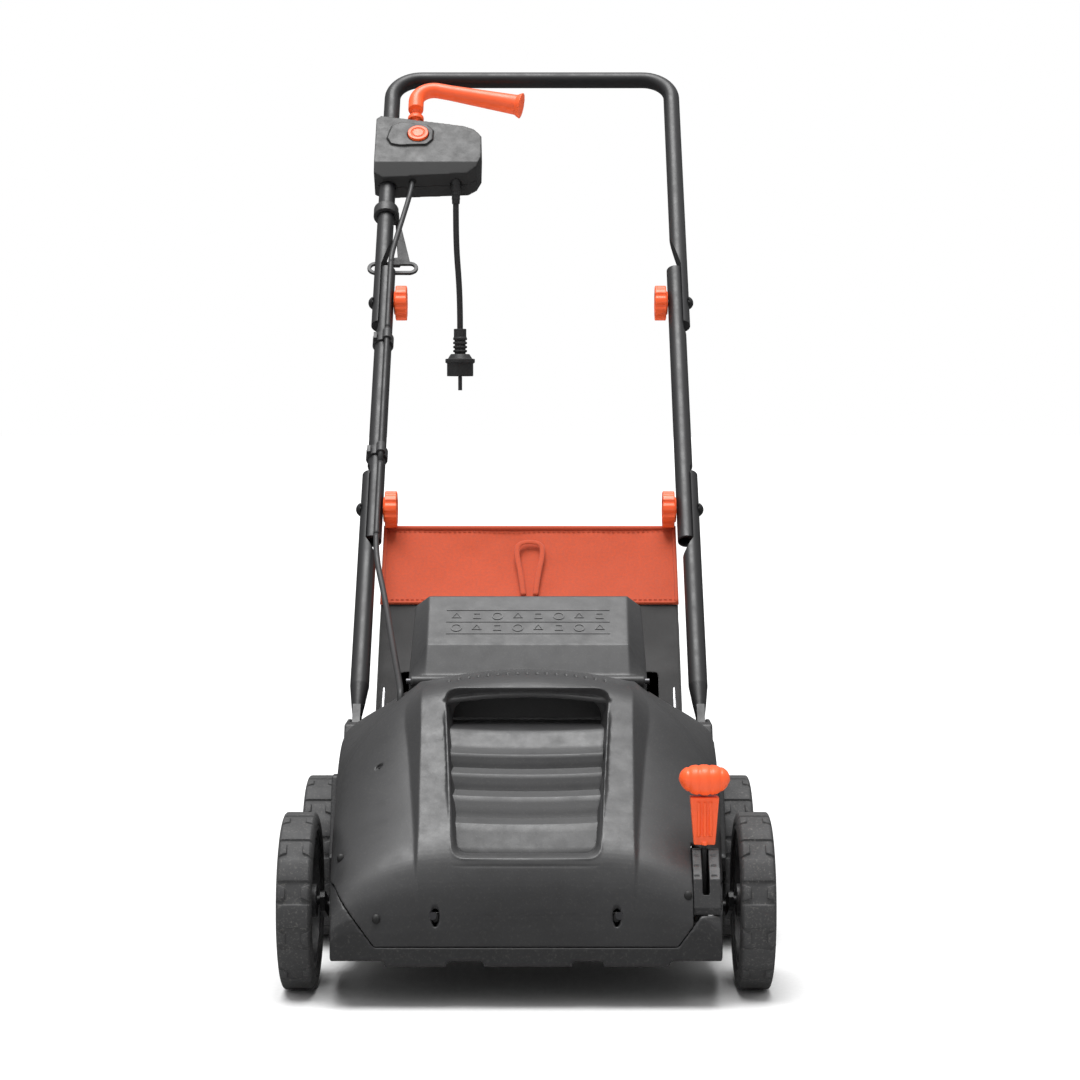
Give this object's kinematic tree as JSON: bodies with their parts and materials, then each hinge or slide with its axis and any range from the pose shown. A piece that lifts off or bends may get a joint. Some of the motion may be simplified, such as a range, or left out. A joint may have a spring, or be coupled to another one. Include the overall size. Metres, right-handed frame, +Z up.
{
  "type": "electric lawn dethatcher",
  "caption": "Wheeled electric lawn dethatcher with a spring tine rotor, folding tube handle, bail lever, height lever and fabric collection bag.",
  "frame": {"origin": "middle of the footprint on the ground", "axes": "+Z up, -Y towards the front where the machine is pushed, +Y towards the handle bar, +X to the right seen from the front"},
  "size_m": [0.498, 1.1844, 1.0639],
  "materials": {
    "black_plastic": "fine grain",
    "dark_grey_plastic": "fine grain",
    "orange_plastic": "satin",
    "black_paint": "satin powder coat",
    "steel": "plain",
    "tyre": "matte",
    "rim_plastic": "matte",
    "cable_rubber": "matte",
    "belt_rubber": "matte",
    "cast": "cast",
    "dark_fabric": "woven",
    "orange_fabric": "woven"
  },
  "bodies": {
    "housing": {"chassis": "black_plastic", "hood": "dark_grey_plastic", "louvre_panel": "dark_grey_plastic", "flap_pin": "steel", "depth_scale_pod": "black_plastic", "rear_axles": "steel", "motor_body": "cast", "drive_belt": "belt_rubber", "rotor_bearings": "steel", "lower_tube_left": "black_paint", "lower_tube_right": "black_paint", "lower_fold_bolts": "black_paint", "foot_screws": "steel", "housing_screws": "steel", "machine_cable_lower": "cable_rubber"},
    "tine_rotor": {"rotor_shaft": "steel", "rotor_pulley": "cast", "spring_tines": "steel"},
    "motor_rotor": {"motor_shaft": "steel", "cooling_fan": "black_plastic", "motor_pulley": "cast"},
    "discharge_flap": {"rear_flap": "dark_grey_plastic"},
    "height_lever": {"depth_lever": "orange_plastic", "depth_grip": "orange_plastic"},
    "front_axle": {"front_axle_crank": "black_paint"},
    "wheel_front_left": {"tyre_front_left": "tyre", "rim_front_left": "rim_plastic"},
    "wheel_front_right": {"tyre_front_right": "tyre", "rim_front_right": "rim_plastic"},
    "wheel_rear_left": {"tyre_rear_left": "tyre", "rim_rear_left": "rim_plastic"},
    "wheel_rear_right": {"tyre_rear_right": "tyre", "rim_rear_right": "rim_plastic"},
    "middle_section": {"middle_tube_left": "black_paint", "middle_tube_right": "black_paint", "upper_fold_bolts": "black_paint", "cable_clips": "black_plastic", "machine_cable_middle": "cable_rubber", "machine_cable_lower_bend": "cable_rubber"},
    "upper_section": {"upper_handle": "black_paint", "switch_box_front": "black_plastic", "switch_box_back": "black_plastic", "microswitch": "black_plastic", "machine_cable_upper": "cable_rubber", "machine_cable_upper_bend": "cable_rubber", "lead_boot": "cable_rubber", "lead_cord": "cable_rubber", "plug_body": "cable_rubber", "plug_pins": "steel"},
    "hook": {"cord_hook": "black_plastic"},
    "bail": {"bail_lever": "orange_plastic"},
    "button": {"safety_button": "orange_plastic"},
    "star_knob_lower_left": {"knob_lower_left": "orange_plastic"},
    "star_knob_lower_right": {"knob_lower_right": "orange_plastic"},
    "star_knob_upper_left": {"knob_upper_left": "orange_plastic"},
    "star_knob_upper_right": {"knob_upper_right": "orange_plastic"},
    "bag": {"bag_fabric": "dark_fabric", "bag_front_panel": "orange_fabric", "bag_strap": "orange_fabric", "bag_frame": "steel"}
  },
  "joints": [
    {"name": "rotor_spin", "type": "hinge", "parent": "housing", "child": "tine_rotor", "pos_m": [0, -0.3382, 0.075], "axis": [1, 0, 0], "continuous": true},
    {"name": "motor_spin", "type": "hinge", "parent": "housing", "child": "motor_rotor", "pos_m": [0, -0.4482, 0.14], "axis": [1, 0, 0], "continuous": true},
    {"name": "flap_lift", "type": "hinge", "parent": "housing", "child": "discharge_flap", "pos_m": [0, -0.3202, 0.298], "axis": [1, 0, 0], "range_deg": [0, 45]},
    {"name": "front_axle_swing", "type": "hinge", "parent": "housing", "child": "front_axle", "pos_m": [0, -0.4462, 0.076], "axis": [-1, 0, 0], "range_deg": [0, 19]},
    {"name": "height_lever_turn", "type": "hinge", "parent": "housing", "child": "height_lever", "pos_m": [0.178, -0.5452, 0.075], "axis": [1, 0, 0], "range_deg": [0, 25]},
    {"name": "wheel_front_left_spin", "type": "hinge", "parent": "front_axle", "child": "wheel_front_left", "pos_m": [-0.231, -0.4882, 0.09], "axis": [1, 0, 0], "continuous": true},
    {"name": "wheel_front_right_spin", "type": "hinge", "parent": "front_axle", "child": "wheel_front_right", "pos_m": [0.231, -0.4882, 0.09], "axis": [1, 0, 0], "continuous": true},
    {"name": "wheel_rear_left_spin", "type": "hinge", "parent": "housing", "child": "wheel_rear_left", "pos_m": [-0.231, -0.2082, 0.09], "axis": [1, 0, 0], "continuous": true},
    {"name": "wheel_rear_right_spin", "type": "hinge", "parent": "housing", "child": "wheel_rear_right", "pos_m": [0.231, -0.2082, 0.09], "axis": [1, 0, 0], "continuous": true},
    {"name": "lower_fold", "type": "hinge", "parent": "housing", "child": "middle_section", "pos_m": [0, 0.03855, 0.47055], "axis": [-1, 0, 0], "range_deg": [-95, 0], "deforming": ["machine_cable_lower_bend"]},
    {"name": "upper_fold", "type": "hinge", "parent": "middle_section", "child": "upper_section", "pos_m": [0, 0.27988, 0.72953], "axis": [1, 0, 0], "range_deg": [0, 145], "deforming": ["machine_cable_upper_bend"]},
    {"name": "bail_squeeze", "type": "hinge", "parent": "upper_section", "child": "bail", "pos_m": [-0.159, 0.4747, 0.96352], "axis": [0, -0.7316, 0.6817], "range_deg": [0, 13], "stiffness_Nm_per_rad": 0.6, "springref_deg": -11.46},
    {"name": "button_press", "type": "slide", "parent": "upper_section", "child": "button", "axis": [0, 0.7316, -0.6817], "range_m": [0, 0.0028], "stiffness_N_per_m": 400, "springref_m": -0.002},
    {"name": "hook_slide", "type": "slide", "parent": "upper_section", "child": "hook", "axis": [0, 0.6817, 0.7316], "range_m": [0, 0.03]},
    {"name": "knob_lower_left_turn", "type": "hinge", "parent": "housing", "child": "star_knob_lower_left", "pos_m": [-0.169, 0.03855, 0.47055], "axis": [1, 0, 0], "continuous": true},
    {"name": "knob_lower_right_turn", "type": "hinge", "parent": "housing", "child": "star_knob_lower_right", "pos_m": [0.169, 0.03855, 0.47055], "axis": [1, 0, 0], "continuous": true},
    {"name": "knob_upper_left_turn", "type": "hinge", "parent": "middle_section", "child": "star_knob_upper_left", "pos_m": [-0.169, 0.27988, 0.72953], "axis": [1, 0, 0], "continuous": true},
    {"name": "knob_upper_right_turn", "type": "hinge", "parent": "middle_section", "child": "star_knob_upper_right", "pos_m": [0.169, 0.27988, 0.72953], "axis": [1, 0, 0], "continuous": true},
    {"name": "bag_lift_off", "type": "slide", "parent": "housing", "child": "bag", "axis": [0, 0.94, 0.3412], "range_m": [0, 0.15]}
  ],
  "couplings": [
    {"joint": "motor_spin", "follows": "rotor_spin", "ratio": 2},
    {"joint": "height_lever_turn", "follows": "front_axle_swing", "ratio": 1.25}
  ]
}
